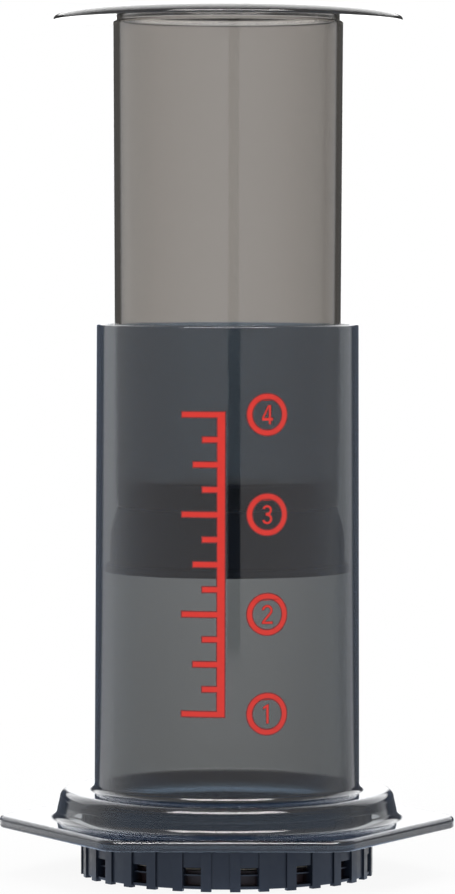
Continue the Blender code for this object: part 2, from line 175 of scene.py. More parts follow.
# Cap: windows with a bar across each, ribs, hooks and holes
WINDOW_COUNT = 16
WINDOW_TURN = math.radians(8.9)
WINDOW_PITCH = TURN / WINDOW_COUNT
WINDOW_WIDTH = WINDOW_PITCH * 0.31
WINDOW_IN, WINDOW_OUT = 31.0, 36.0
WINDOW_BOTTOM, WINDOW_TOP = 1.2, 5.5
BAR_IN, BAR_OUT = 30.8, 33.4
BAR_BOTTOM, BAR_TOP = 3.55, 3.85
BAR_ROUNDING = 0.08
BAR_OVERRUN = 0.01
RIB_IN, RIB_OUT = 33.3, 34.65
RIB_TOP = 15.0
RIB_DEGREES = 4.0
RIB_ROUNDING = 0.18
RIBS_PER_WINDOW = 2
HOOK_IN, HOOK_OUT = 31.2, 32.9
HOOK_BOTTOM, HOOK_TOP = 8.9, 10.9
HOOK_DEGREES = 27
HOOK_ROUNDING = 0.15
HOLE_RADIUS = 1.2
HOLE_PITCH = 5.5
HOLE_ROWS = 6
HOLE_SIDES = 20
HOLE_DEPTH = 5
HOLE_BORDER = 4.0

# Paper filter
PAPER = 31.1
PAPER_EDGE = 0.1
PAPER_MIDDLE = 4.8
PAPER_DIP = 0.08

# Print: rings and numerals up the front, and a scale beside them
PRINT_HALF = 0.015
PRINT_LIFT = 0.04
PRINT_BORDER = 0.28
DIGIT_BORDER = 0.16
PRINT_STRIP = 0.7
PRINT_STRIPS_EACH_WAY = 20
STRIP_SHIFT = 0.013
FIRST_MARK = 40.8
MARK_SPACING = 23.07
MARK_COUNT = 4
MARK_ANGLE = math.radians(17.2)
DOSE_RING_OUT = 5.05
DOSE_RING_IN = 3.4
DOSE_RING_STEPS = 72
DIGIT_HEIGHT = 4.6
SCALE_ANGLE = math.radians(-4.5)
SCALE_TICKS = 13
TICKS_PER_MARK = 4
SPINE_LEFT, SPINE_RIGHT = -0.1, 2.1
TICK_HALF = 0.85
LONG_TICK, MIDDLE_TICK, SHORT_TICK = 8.5, 5.8, 3.6

# Numerals as shares of their height
DIGIT_MIDDLE = 0.30
ONE = [(0.23, 0), (0.23, 0.79), (0.07, 0.71), (0.07, 0.87), (0.28, 1), (0.4, 1), (0.4, 0)]
TWO_BOWL = (0.30, 0.70)
TWO_OUT, TWO_IN = 0.30, 0.14
TWO_FOOT = [(0.22, 0.16), (0.6, 0.16), (0.6, 0), (0, 0), (0, 0.14)]
THREE_TOP, THREE_LOW = (0.29, 0.73), (0.29, 0.285)
THREE_TOP_OUT, THREE_TOP_IN = 0.27, 0.115
THREE_LOW_OUT, THREE_LOW_IN = 0.285, 0.13
THREE_ARM = 0.19
FOUR = [
    (0.35, 0), (0.35, 0.20), (0, 0.20), (0, 0.36), (0.32, 1), (0.51, 1),
    (0.51, 0.36), (0.61, 0.36), (0.61, 0.20), (0.51, 0.20), (0.51, 0),
]
FOUR_HOLE = [(0.16, 0.36), (0.35, 0.36), (0.35, 0.75)]

# Meshes: edges sharper than so many degrees stay sharp, and a straight longer than
# LONG_STRAIGHT has a row at HOLD from each end. A block's edges that turn by more than
# CORNER_TURN radians are its corners.
SHARP = 38
SHARP_CAP = 30
SHARP_PRINT = 40
HOLD = 0.2
LONG_STRAIGHT = 5 * HOLD
CORNER_TURN = 0.6
CREASE_REACH = 0.01
ROUND_STEPS = 192
SEAL_STEPS = 144
MERGE = 1e-5

# Colours are linear. Clear plastic has its tint as absorption, with a density per metre.
WHITE = (1, 1, 1)
CLEAR_IOR = 1.49
CHAMBER_ABSORB, CHAMBER_DENSITY = (0.138, 0.149, 0.130), 610
PLUNGER_ABSORB, PLUNGER_DENSITY = (0.226, 0.162, 0.080), 480
HAZE, HAZE_ROUGHNESS, HAZE_TINT = 0.08, 0.6, (0.20, 0.45, 1.0)
RUBBER_DARK, RUBBER_LIGHT = (0.026, 0.034, 0.050), (0.046, 0.055, 0.074)
CAP_DARK, CAP_LIGHT = (0.012, 0.017, 0.029), (0.016, 0.022, 0.036)
CAP_SPECULAR = 0.35
COFFEE_STAIN = (0.030, 0.016, 0.018)
STAIN_RADII = (33.1 * MM, 31.6 * MM)
PAPER_DARK, PAPER_LIGHT = (0.62, 0.58, 0.50), (0.80, 0.77, 0.70)
PAPER_ROUGHNESS = 0.95
INK_DARK, INK_LIGHT = (0.52, 0.012, 0.004), (0.59, 0.017, 0.007)
BORDER_DARK, BORDER_LIGHT = (0.10, 0.004, 0.004), (0.15, 0.006, 0.006)

# Lamps light what is dull: name, place, size in metres and power in watts
LIT_POINT = (0, 0, 0.1)
SOFTBOXES = [
    ("key", (-0.9, -1.2, 1.1), 0.9, 12),
    ("fill", (1.1, -0.8, 0.7), 0.8, 5),
    ("top", (0, 0.3, 1.4), 0.9, 7),
]
DULL_LEVEL = 0.55

# Gloss and clear plastic see a drawn studio instead of the lamps. Its levels stand in stops
# of (degrees, level), where 0 degrees is behind the object.
# Gloss: a white field straight behind, black flags beside it, softboxes in front
GLOSS = [
    (-180, 1.0), (-130, 1.0), (-95, 1.1), (-60, 1.2), (-45, 1.0), (-37, 0.12), (-9, 0.1),
    (-4, 2.0), (4, 2.0), (9, 0.1), (37, 0.12), (44, 0.9), (51, 0.8), (57, 0.6), (64, 0.55),
    (72, 0.8), (80, 0.95), (95, 1.0), (130, 1.05), (180, 1.0),
]
GLOSS_PEAK = 2.0
# Clear plastic: the white field, a little brighter at its ends
THROUGH = [
    (-180, 0.8), (-120, 0.7), (-75, 0.35), (-38, 0.3), (-30, 1.3), (-12, 1.15), (-4, 1.05),
    (4, 1.0), (12, 1.05), (30, 1.2), (38, 0.3), (75, 0.35), (120, 0.7), (180, 0.8),
]
THROUGH_PEAK = 1.5
# A ray that passed one wall only ran along it, and is weaker by a share
ONE_WALL_DEPTH = 2.5
ONE_WALL_LOSS = 0.7
MANY_WALLS_DEPTH = 5.5

# The light in front is warm far off and bluer close by, and bluer behind many walls
WARM = (0.99, 0.95, 0.95)
BLUISH = (0.82, 0.96, 1.18)
BEHIND_FEW = (0.98, 1.01, 1.065)
BEHIND_MANY = (0.80, 1.12, 1.62)

# Pairs run from a share of 0 to a share of 1: azimuths in radians, heights as a direction's Z,
# and reaches as metres from the object's axis
GAP_MIDDLE = math.radians(174.3)
GAP_HALF = (math.radians(6.2), math.radians(4.4))
GAP_DIMMING = 0.95
GAP_HEIGHTS = (0.12, 0.08)
BLUISH_LOW, BLUISH_HIGH = (0.08, 0.14), (0.42, 0.36)
BEHIND_AZIMUTHS = (2.0, 1.3)
REAR_AZIMUTHS = (1.25, 0.95)
REAR_HEIGHTS = (0.18, 0.26)
REAR_LEVEL, REAR_RISE, REAR_RISE_HEIGHTS = 1.4, 1.2, (0.13, 0.30)
KEY_LEVEL = 14.0
KEY_AZIMUTHS = (2.30, 2.42)
KEY_LOW, KEY_HIGH = (0.42, 0.50), (0.86, 0.78)

# Floor
FLOOR_RADIUS = 12
FLOOR_DROP = 0.0002
FLOOR_COLOUR = (0.9, 0.9, 0.9)
WHITE_REACH, WHITE_SHARES = (0.05, 0.35), (0.92, 1.0)
# Gloss and clear plastic see the floor glow, as painted light: a brighter disc near the object and
# a brighter ring round it
NEAR_LEVEL, NEAR_REACH = 1.3, (0.10, 0.16)
GAP_REACH = (0.70, 0.74)
BLUISH_REACH = (0.30, 0.20)
GLOW_RING_GAIN = 1.1
GLOW_RING_IN, GLOW_RING_OUT = (0.105, 0.13), (0.185, 0.165)

# Camera, fitted to the photograph: lengths in metres, turns in degrees
PHOTO_HEIGHT = 894
FOCAL_PIXELS = 4727.0
SENSOR = 36
CAMERA_PLACE = (0, -1.1186, 0.149)
CAMERA_TILT = 90 - 2.444
CAMERA_ROLL = 0.10


# Mesh helpers


def arc(cx, cz, rx, rz, start, end, steps):
    """Points on an ellipse's arc about (cx, cz), from start to end in degrees."""
    turn = [math.radians(start + (end - start) * i / steps) for i in range(steps + 1)]
    return [(cx + rx * math.cos(a), cz + rz * math.sin(a)) for a in turn]


def rounded(x, z, size, start, end, steps):
    """The corner at (x, z) rounded to size, as a quarter arc from start to end in degrees."""
    middle = math.radians((start + end) / 2)
    cx = x - math.copysign(size, math.cos(middle))
    cz = z - math.copysign(size, math.sin(middle))
    return arc(cx, cz, size, size, start, end, steps)


def even_angles(count):
    return [TURN * i / count for i in range(count)]


def row_between(first, second, share):
    """The row at a share of the way from one row to another."""
    z = first[1] + (second[1] - first[1]) * share
    if not callable(first[0]) and not callable(second[0]):
        return first[0] + (second[0] - first[0]) * share, z

    def radius(angle):
        ends = [r(angle) if callable(r) else r for r in (first[0], second[0])]
        return ends[0] + (ends[1] - ends[0]) * share

    return radius, z


def held(rows, closed):
    """Add a row near both ends of each long straight, so that it is shaded flat."""
    full = []
    ends = rows[1:] + rows[:1]
    for number, (first, second) in enumerate(zip(rows, ends)):
        full.append(first)
        if number == len(rows) - 1 and not closed:
            continue
        near = [r(0) if callable(r) else r for r in (first[0], second[0])]
        length = math.hypot(near[1] - near[0], second[1] - first[1])
        if length < LONG_STRAIGHT:
            continue
        if near[0] > HOLD:
            full.append(row_between(first, second, HOLD / length))
        if near[1] > HOLD:
            full.append(row_between(first, second, 1 - HOLD / length))
    return full


def lathe(rows, angles, closed):
    """A mesh turned about Z. A row is (radius, z), where radius may be a function of the angle.
    An open outline starts and ends on the axis."""
    rows = held(rows, closed)
    bm = bmesh.new()
    rings = []
    for radius, z in rows:
        if radius == 0:
            rings.append([bm.verts.new((0, 0, z * MM))] * len(angles))
            continue
        ring = []
        for a in angles:
            r = radius(a) if callable(radius) else radius
            ring.append(bm.verts.new((r * MM * math.cos(a), r * MM * math.sin(a), z * MM)))
        rings.append(ring)
    pairs = list(zip(rings, rings[1:]))
    if closed:
        pairs.append((rings[-1], rings[0]))
    count = len(angles)
    for upper, lower in pairs:
        for i in range(count):
            j = (i + 1) % count
            quad = [upper[i], lower[i], lower[j], upper[j]]
            face = list(dict.fromkeys(quad))
            if len(face) > 2:
                bm.faces.new(face)
    bmesh.ops.recalc_face_normals(bm, faces=bm.faces)
    return bm


def shade(mesh, sharp):
    mesh.shade_smooth()
    mesh.set_sharp_from_angle(angle=math.radians(sharp))
    return mesh


def to_mesh(bm, name, sharp=SHARP):
    mesh = bpy.data.meshes.new(name)
    bm.to_mesh(mesh)
    bm.free()
    return shade(mesh, sharp)


def crease(mesh, height):
    """Keep the ring of edges at a height of a turned mesh sharp."""
    for edge in mesh.edges:
        heights = [mesh.vertices[index].co.z / MM for index in edge.vertices]
        if all(abs(z - height) < CREASE_REACH for z in heights):
            edge.use_edge_sharp = True


def sector_prism(bm, inner, outer, bottom, top, middle, width, steps, round_to=0.0):
    """A block on a piece of a ring, in millimetres and radians, with its corners taken off when
    round_to is given.
    """
    angles = [middle - width / 2 + width * i / steps for i in range(steps + 1)]
    outline = [(outer * math.cos(a), outer * math.sin(a)) for a in angles]
    outline += [(inner * math.cos(a), inner * math.sin(a)) for a in reversed(angles)]
    low = [bm.verts.new((x * MM, y * MM, bottom * MM)) for x, y in outline]
    high = [bm.verts.new((x * MM, y * MM, top * MM)) for x, y in outline]
    faces = [bm.faces.new(list(reversed(low))), bm.faces.new(high)]
    count = len(outline)
    for i in range(count):
        j = (i + 1) % count
        faces.append(bm.faces.new([low[i], low[j], high[j], high[i]]))
    if round_to:
        edges = {e for f in faces for e in f.edges if e.calc_face_angle(0) > CORNER_TURN}
        bmesh.ops.bevel(
            bm, geom=list(edges), offset=round_to * MM, segments=2, profile=0.5, affect="EDGES"
        )


def cut(mesh, tools, name):
    """Boolean the mesh with (operation, bmesh) tools and return the result."""
    obj = bpy.data.objects.new(name, mesh)
    bpy.context.scene.collection.objects.link(obj)
    helpers = []
    for number, (operation, bm) in enumerate(tools):
        helper_mesh = bpy.data.meshes.new(f"{name}_tool_{number}")
        bm.to_mesh(helper_mesh)
        bm.free()
        helper = bpy.data.objects.new(helper_mesh.name, helper_mesh)
        bpy.context.scene.collection.objects.link(helper)
        helpers.append(helper)
        modifier = obj.modifiers.new(helper.name, "BOOLEAN")
        modifier.operation = operation
        modifier.solver = "EXACT"
        modifier.object = helper
    graph = bpy.context.evaluated_depsgraph_get()
    result = bpy.data.meshes.new_from_object(obj.evaluated_get(graph))
    bpy.data.objects.remove(obj)
    for helper in helpers:
        bpy.data.objects.remove(helper)
    return result


def link(name, mesh, material, body, replaced):
    """Add a piece that rides on a body and stands for a CAD node."""
    obj = bpy.data.objects.new(name, mesh)
    bpy.context.scene.collection.objects.link(obj)
    mesh.materials.clear()
    mesh.materials.append(material)
    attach(obj, body)
    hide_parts(replaced)
    return obj


# Node helpers


def principled(name):
    material = bpy.data.materials.new(name)
    material.use_nodes = True
    tree = material.node_tree
    return material, tree, tree.nodes["Principled BSDF"]


def maths(tree, operation, *values):
    """A Math node on sockets or numbers; gives its output."""
    made = tree.nodes.new("ShaderNodeMath")
    made.operation = operation
    for slot, value in enumerate(values):
        if isinstance(value, (int, float)):
            made.inputs[slot].default_value = value
        else:
            tree.links.new(value, made.inputs[slot])
    return made.outputs[0]


def smooth_between(tree, value, start, end):
    """0 at start and 1 at end, eased."""
    made = tree.nodes.new("ShaderNodeMapRange")
    made.interpolation_type = "SMOOTHSTEP"
    made.inputs["From Min"].default_value = start
    made.inputs["From Max"].default_value = end
    tree.links.new(value, made.inputs["Value"])
    return made.outputs["Result"]


def spread(tree, value, low, high, start=0.3, end=0.7):
    """The value between start and end, spread from low to high."""
    ramp = tree.nodes.new("ShaderNodeMapRange")
    ramp.inputs["From Min"].default_value = start
    ramp.inputs["From Max"].default_value = end
    ramp.inputs["To Min"].default_value = low
    ramp.inputs["To Max"].default_value = high
    tree.links.new(value, ramp.inputs["Value"])
    return ramp.outputs["Result"]


def noise(tree, scale, detail, stretch=(1, 1, 1)):
    place = tree.nodes.new("ShaderNodeTexCoord")
    mapping = tree.nodes.new("ShaderNodeMapping")
    mapping.inputs["Scale"].default_value = stretch
    texture = tree.nodes.new("ShaderNodeTexNoise")
    texture.inputs["Scale"].default_value = scale
    texture.inputs["Detail"].default_value = detail
    tree.links.new(place.outputs["Object"], mapping.inputs["Vector"])
    tree.links.new(mapping.outputs["Vector"], texture.inputs["Vector"])
    return texture.outputs["Fac"]


def blend_colours(tree, share, first, second):
    """Mix two colours, each of them a tuple or a socket."""
    mix = tree.nodes.new("ShaderNodeMix")
    mix.data_type = "RGBA"
    for slot, colour in ((6, first), (7, second)):
        if isinstance(colour, tuple):
            mix.inputs[slot].default_value = (*colour, 1)
        else:
            tree.links.new(colour, mix.inputs[slot])
    tree.links.new(share, mix.inputs[0])
    return mix.outputs[2]


def blend_levels(tree, share, first, second):
    """Mix two levels, each of them a number or a socket."""
    mix = tree.nodes.new("ShaderNodeMix")
    for slot, level in ((2, first), (3, second)):
        if isinstance(level, float):
            mix.inputs[slot].default_value = level
        else:
            tree.links.new(level, mix.inputs[slot])
    tree.links.new(share, mix.inputs[0])
    return mix.outputs[0]


def blend_shaders(tree, share, first, second):
    mix = tree.nodes.new("ShaderNodeMixShader")
    tree.links.new(share, mix.inputs[0])
    tree.links.new(first, mix.inputs[1])
    tree.links.new(second, mix.inputs[2])
    return mix.outputs[0]


def bump(tree, shader, height, strength, distance):
    made = tree.nodes.new("ShaderNodeBump")
    made.inputs["Strength"].default_value = strength
    made.inputs["Distance"].default_value = distance
    tree.links.new(height, made.inputs["Height"])
    tree.links.new(made.outputs["Normal"], shader.inputs["Normal"])


def mottle(tree, shader, share, dark, light):
    """Colour that wanders between dark and light."""
    tree.links.new(blend_colours(tree, share, dark, light), shader.inputs["Base Color"])


def vary_roughness(tree, shader, share, low, high):
    tree.links.new(spread(tree, share, low, high), shader.inputs["Roughness"])


# Materials


def smoke_plastic(name, absorb, density):
    """Clear tinted plastic: the tint is in the wall, so it deepens where the wall is seen along."""
    material, tree, shader = principled(name)
    shader.inputs["Base Color"].default_value = (*WHITE, 1)
    shader.inputs["Transmission Weight"].default_value = 1.0
    shader.inputs["IOR"].default_value = CLEAR_IOR
    vary_roughness(tree, shader, noise(tree, scale=900, detail=4), 0.03, 0.07)
    flow = noise(tree, scale=60, detail=2, stretch=(1, 1, 0.15))
    bump(tree, shader, flow, strength=0.05, distance=0.0002)
    volume = tree.nodes.new("ShaderNodeVolumeAbsorption")
    volume.inputs["Color"].default_value = (*absorb, 1)
    volume.inputs["Density"].default_value = density
    output = tree.nodes["Material Output"]
    tree.links.new(volume.outputs["Volume"], output.inputs["Volume"])
    return material


def chamber_plastic():
    """The tinted plastic with a faint bluish haze on it."""
    material = smoke_plastic("smoke_plastic_chamber", CHAMBER_ABSORB, CHAMBER_DENSITY)
    shader = material.node_tree.nodes["Principled BSDF"]
    shader.inputs["Sheen Weight"].default_value = HAZE
    shader.inputs["Sheen Roughness"].default_value = HAZE_ROUGHNESS
    shader.inputs["Sheen Tint"].default_value = (*HAZE_TINT, 1)
    return material


def rubber():
    material, tree, shader = principled("seal_rubber")
    mottle(tree, shader, noise(tree, scale=120, detail=5), RUBBER_DARK, RUBBER_LIGHT)
    vary_roughness(tree, shader, noise(tree, scale=400, detail=4), 0.42, 0.58)
    bump(tree, shader, noise(tree, scale=1500, detail=4), strength=0.15, distance=0.0001)
    return material


def axis_distance(tree):
    """How far a point of the piece lies from the Z axis."""
    place = tree.nodes.new("ShaderNodeTexCoord")
    apart = tree.nodes.new("ShaderNodeSeparateXYZ")
    tree.links.new(place.outputs["Object"], apart.inputs["Vector"])
    squares = [maths(tree, "MULTIPLY", apart.outputs[i], apart.outputs[i]) for i in ("X", "Y")]
    return maths(tree, "SQRT", maths(tree, "ADD", *squares))


def cap_plastic():
    material, tree, shader = principled("cap_plastic")
    cloud = noise(tree, scale=90, detail=4)
    colour = blend_colours(tree, cloud, CAP_DARK, CAP_LIGHT)
    # Coffee has stained the plastic brown inside the windows
    inside = smooth_between(tree, axis_distance(tree), *STAIN_RADII)
    mottle(tree, shader, inside, colour, COFFEE_STAIN)
    vary_roughness(tree, shader, noise(tree, scale=500, detail=5), 0.34, 0.50)
    shader.inputs["Specular IOR Level"].default_value = CAP_SPECULAR
    bump(tree, shader, noise(tree, scale=5000, detail=3), strength=0.12, distance=0.00005)
    return material


def paper():
    material, tree, shader = principled("filter_paper")
    fibres = noise(tree, scale=700, detail=8, stretch=(1, 0.25, 1))
    mottle(tree, shader, fibres, PAPER_DARK, PAPER_LIGHT)
    shader.inputs["Roughness"].default_value = PAPER_ROUGHNESS
    pressed = noise(tree, scale=1800, detail=8, stretch=(1, 0.3, 1))
    bump(tree, shader, pressed, strength=0.4, distance=0.0001)
    return material


def ink(name, dark, light):
    material, tree, shader = principled(name)
    mottle(tree, shader, noise(tree, scale=800, detail=4), dark, light)
    vary_roughness(tree, shader, noise(tree, scale=2500, detail=3), 0.32, 0.44)
    bump(tree, shader, noise(tree, scale=3000, detail=3), strength=0.1, distance=0.00002)
    return material


# Chamber


def hexagon_radius(inset):
    """The polar radius of the plate's round-cornered hexagon, moved in by inset."""
    apothem = PLATE_APOTHEM - inset
    corner = PLATE_CORNER - inset
    half_side = math.pi / PLATE_SIDES
    # The round corner's centre lies at reach on the line through the corner
    reach = (apothem - corner) / math.cos(half_side)
    touch = math.atan2(corner * math.sin(half_side), reach + corner * math.cos(half_side))

    def radius(angle):
        local = (angle + half_side) % (2 * half_side) - half_side
        flat = apothem / math.cos(half_side - abs(local))
        under = corner * corner - (reach * math.sin(local)) ** 2
        if under < 0 or abs(local) >= touch:
            return flat
        return reach * math.cos(local) + math.sqrt(under)

    return radius


def plate_angles():
    """Angles round the chamber, close together at the hexagon's corners."""
    angles = []
    side = 360 / PLATE_SIDES
    fine = round(FINE_DEGREES / FINE_STEP_DEGREES)
    for corner in range(PLATE_SIDES):
        middle = math.radians(corner * side)
        for i in range(-fine, fine + 1):
            angles.append(middle + math.radians(i * FINE_STEP_DEGREES))
        for i in range(1, COARSE_STEPS):
            between = (side - 2 * FINE_DEGREES) * i / COARSE_STEPS
            angles.append(middle + math.radians(FINE_DEGREES + between))
    return sorted(a % TURN for a in angles)


def plate_rows():
    """The plate's edge, rounded above and below."""
    rows = []
    turns = [TURN / 4 * step / PLATE_ROUNDING_STEPS for step in range(PLATE_ROUNDING_STEPS + 1)]
    for turn in turns:
        inset = PLATE_TOP_ROUNDING * (1 - math.sin(turn))
        drop = PLATE_TOP_ROUNDING * (1 - math.cos(turn))
        rows.append((hexagon_radius(inset), PLATE_TOP - drop))
    for turn in turns:
        inset = PLATE_LOW_ROUNDING * (1 - math.cos(turn))
        rise = PLATE_LOW_ROUNDING * (1 - math.sin(turn))
        rows.append((hexagon_radius(inset), PLATE_BOTTOM + rise))
    return rows


def chamber_rows():
    rows = rounded(RIM, RIM_TOP, RIM_ROUNDING, 90, 0, 6)
    rows += rounded(TUBE_ROOT, COLLAR_TOP, TUBE_FILLET, 180, 270, 10)
    rows += rounded(COLLAR, COLLAR_TOP, COLLAR_ROUNDING, 90, 0, 14)
    rows += rounded(COLLAR_FOOT - COLLAR_FILLET, PLATE_TOP, COLLAR_FILLET, 180, 270, 10)
    rows += plate_rows()
    rows += rounded(RECESS_MOUTH, PLATE_BOTTOM, RECESS_LIP_ROUNDING, 270, 180, 3)
    rows += rounded(RECESS_TOP, WEB_BOTTOM, RECESS_FILLET, 0, 90, 4)
    rows += rounded(GROOVE, WEB_BOTTOM, GROOVE_ROUNDING, 270, 180, 3)
    rows += rounded(GROOVE, GROOVE_TOP, GROOVE_ROUNDING, 0, 90, 3)
    rows += rounded(SPIGOT, GROOVE_TOP, SPIGOT_FILLET, 90, 180, 3)
    rows += [(SPIGOT, SPIGOT_BOTTOM + SPIGOT_CHAMFER), (SPIGOT - SPIGOT_CHAMFER, SPIGOT_BOTTOM)]
    rows += rounded(BORE, SPIGOT_BOTTOM, SPIGOT_BORE_ROUNDING, 270, 180, 3)
    rows += rounded(BORE, RIM_TOP, BORE_ROUNDING, 180, 90, 4)
    return rows


def build_chamber(material):
    base = to_mesh(lathe(chamber_rows(), plate_angles(), True), "chamber_turned")
    lugs = bmesh.new()
    stops = bmesh.new()
    for i in range(BAYONET_COUNT):
        middle = i * TURN / BAYONET_COUNT
        width = math.radians(LUG_DEGREES)
        sector_prism(lugs, SPIGOT - LUG_ROOT, LUG, LUG_BOTTOM, LUG_TOP, middle, width, 12)
        middle += math.radians(STOP_TURN_DEGREES)
        width = math.radians(STOP_DEGREES)
        sector_prism(stops, SPIGOT - STOP_ROOT, STOP, STOP_BOTTOM, STOP_TOP, middle, width, 2)
    mesh = cut(base, [("UNION", lugs), ("UNION", stops)], "chamber_body")
    link("clear_chamber", shade(mesh, SHARP), material, "chamber", "chamber")


# Plunger


def hand_flange_rows():
    """The flange from the tube's mouth, over its edge and back to the tube below it."""
    edge = HAND_FLANGE_BOTTOM + HAND_FLANGE_LIP
    rows = rounded(MOUTH, PLUNGER_TOP, MOUTH_ROUNDING, 180, 90, 5)
    rows += arc(
        HAND_FLANGE - HAND_DOME_WIDTH, edge, HAND_DOME_WIDTH, PLUNGER_TOP - edge, 90, 0, 24
    )
    rows += rounded(HAND_FLANGE, HAND_FLANGE_BOTTOM, HAND_FLANGE_LIP, 0, -90, 4)[1:]
    start = HAND_FLANGE - HAND_FLANGE_LIP
    for step in range(1, UNDERSIDE_STEPS + 1):
        share = step / UNDERSIDE_STEPS
        rise = UNDERSIDE_RISE * (1 - (1 - share) ** 2)
        rows.append((start - (start - UNDERSIDE_END) * share, HAND_FLANGE_BOTTOM + rise))
    rows += rounded(NECK, NECK_TOP, NECK_TOP_FILLET, 90, 180, 3)
    rows += rounded(NECK, PLUNGER_HEAD_TOP, NECK_FOOT_FILLET, 180, 270, 3)
    rows += rounded(PLUNGER_HEAD, PLUNGER_HEAD_TOP, PLUNGER_HEAD_ROUNDING, 90, 0, 5)
    return rows


def build_plunger(material):
    rows = [(0, POCKET_FLOOR)]
    rows += rounded(POCKET, POCKET_FLOOR, POCKET_FILLET, 270, 360, 4)
    size = POCKET_MOUTH_ROUNDING
    rows += arc(POCKET + size, POCKET_MOUTH_HEIGHT, size, size, 180, 135, 3)
    size = BORE_FOOT_ROUNDING
    rows += arc(BORE_FOOT - size, BORE_FOOT_HEIGHT, size, size, 315, 360, 4)
    rows += hand_flange_rows() + HEEL
    rows += [(BOSS_NECK, PLUNGER_FOOT), (BOSS_NECK, BOSS_HEAD_TOP)]
    rows += [(BOSS_HEAD - BOSS_CHAMFER, BOSS_HEAD_TOP), (BOSS_HEAD, BOSS_HEAD_TOP - BOSS_CHAMFER)]
    rows += [(BOSS_HEAD, BOSS_BOTTOM + BOSS_CHAMFER), (BOSS_HEAD - BOSS_CHAMFER, BOSS_BOTTOM)]
    rows += [(0, BOSS_BOTTOM)]
    mesh = to_mesh(lathe(rows, even_angles(ROUND_STEPS), False), "clear_plunger")
    crease(mesh, HAND_FLANGE_BOTTOM + HAND_FLANGE_LIP)
    link("clear_plunger", mesh, material, "plunger", "plunger")


# Seal


def build_seal(material):
    neck = BOSS_NECK + SEAL_GAP
    head = BOSS_HEAD + SEAL_GAP
    floor = BOSS_BOTTOM - SEAL_GAP
    ledge = BOSS_HEAD_TOP + SEAL_GAP
    rows = [(0, floor), (head, floor), (head, ledge), (neck, ledge)]
    rows += [(neck, SEAL_TOP - BOSS_CHAMFER), (neck + BOSS_CHAMFER, SEAL_TOP)]
    rows += rounded(SEAL_HEAD, SEAL_TOP, SEAL_HEAD_ROUNDING, 90, 0, 4)
    for step in range(FLARE_STEPS + 1):
        share = step / FLARE_STEPS
        growth = FLARE_GROWTH * math.sin(TURN / 4 * share)
        rows.append((SEAL_HEAD + growth, FLARE_TOP - FLARE_HEIGHT * share))
    rows += rounded(SEAL_SKIRT, LIP_TOP, LIP_ROUNDING, 180, 270, 3)
    rows += rounded(LIP, LIP_TOP, LIP_ROUNDING, 90, 0, 4)
    rows += rounded(LIP, LIP_BOTTOM, LIP_ROUNDING, 0, -90, 4)
    for share in SEAL_DOME_SHARES:
        rows.append((SEAL_DOME * share, LIP_BOTTOM - SEAL_DOME_DEPTH * (1 - share * share)))
    rows += [(0, LIP_BOTTOM - SEAL_DOME_DEPTH)]
    mesh = to_mesh(lathe(rows, even_angles(SEAL_STEPS), False), "rubber_seal")
    crease(mesh, LIP_TOP + LIP_ROUNDING)
    link("rubber_seal", mesh, material, "seal", "seal")


# Cap and paper


def hole_centres():
    """A triangular pattern of holes inside the floor's plain border."""
    centres = []
    reach = BORE - HOLE_BORDER
    for row in range(-HOLE_ROWS, HOLE_ROWS + 1):
        for column in range(-HOLE_ROWS, HOLE_ROWS + 1):
            x = (column + (row % 2) / 2) * HOLE_PITCH
            y = row * HOLE_PITCH * math.sqrt(3) / 2
            if math.hypot(x, y) < reach:
                centres.append((x, y))
    return centres


def cap_wall():
    """The turned cap, with its windows and holes cut out."""
    rows = [(0, FLOOR_TOP)]
    rows += rounded(CAP_IN, FLOOR_TOP, FLOOR_FILLET, 270, 360, 3)
    rows += rounded(CAP_IN, CAP_TOP, CAP_ROUNDING, 180, 90, 4)
    rows += rounded(CAP_WALL, CAP_TOP, CAP_ROUNDING, 90, 0, 4)
    rows += rounded(CAP_WALL, RING_BOTTOM, RING_OUT_ROUNDING, 0, -90, 4)
    rows += rounded(RING_IN, RING_BOTTOM, RING_IN_ROUNDING, 270, 180, 3)
    rows += [(RING_IN, FLOOR_BOTTOM), (0, FLOOR_BOTTOM)]
    base = to_mesh(lathe(rows, even_angles(ROUND_STEPS), False), "cap_turned")
    windows = bmesh.new()
    for i in range(WINDOW_COUNT):
        middle = WINDOW_TURN + i * WINDOW_PITCH
        sector_prism(
            windows, WINDOW_IN, WINDOW_OUT, WINDOW_BOTTOM, WINDOW_TOP, middle, WINDOW_WIDTH, 4
        )
    holes = bmesh.new()
    for x, y in hole_centres():
        bmesh.ops.create_cone(
            holes,
            cap_ends=True,
            segments=HOLE_SIDES,
            radius1=HOLE_RADIUS * MM,
            radius2=HOLE_RADIUS * MM,
            depth=HOLE_DEPTH * MM,
            matrix=Matrix.Translation(Vector((x, y, (FLOOR_TOP + FLOOR_BOTTOM) / 2)) * MM),
        )
    return cut(base, [("DIFFERENCE", windows), ("DIFFERENCE", holes)], "cap_body")


def build_cap(material):
    bm = bmesh.new()
    bm.from_mesh(cap_wall())
    for i in range(WINDOW_COUNT * RIBS_PER_WINDOW):
        middle = WINDOW_TURN + (i + 0.5) * WINDOW_PITCH / RIBS_PER_WINDOW
        width = math.radians(RIB_DEGREES)
        sector_prism(bm, RIB_IN, RIB_OUT, 0, RIB_TOP, middle, width, 3, RIB_ROUNDING)
    for i in range(BAYONET_COUNT):
        middle = i * TURN / BAYONET_COUNT
        width = math.radians(HOOK_DEGREES)
        sector_prism(
            bm, HOOK_IN, HOOK_OUT, HOOK_BOTTOM, HOOK_TOP, middle, width, 10, HOOK_ROUNDING
        )
    for i in range(WINDOW_COUNT):
        middle = WINDOW_TURN + i * WINDOW_PITCH
        width = WINDOW_WIDTH + BAR_OVERRUN
        sector_prism(bm, BAR_IN, BAR_OUT, BAR_BOTTOM, BAR_TOP, middle, width, 3, BAR_ROUNDING)
    mesh = to_mesh(bm, "filter_cap_dark", SHARP_CAP)
    link("filter_cap_dark", mesh, material, "cap", "filter_cap")


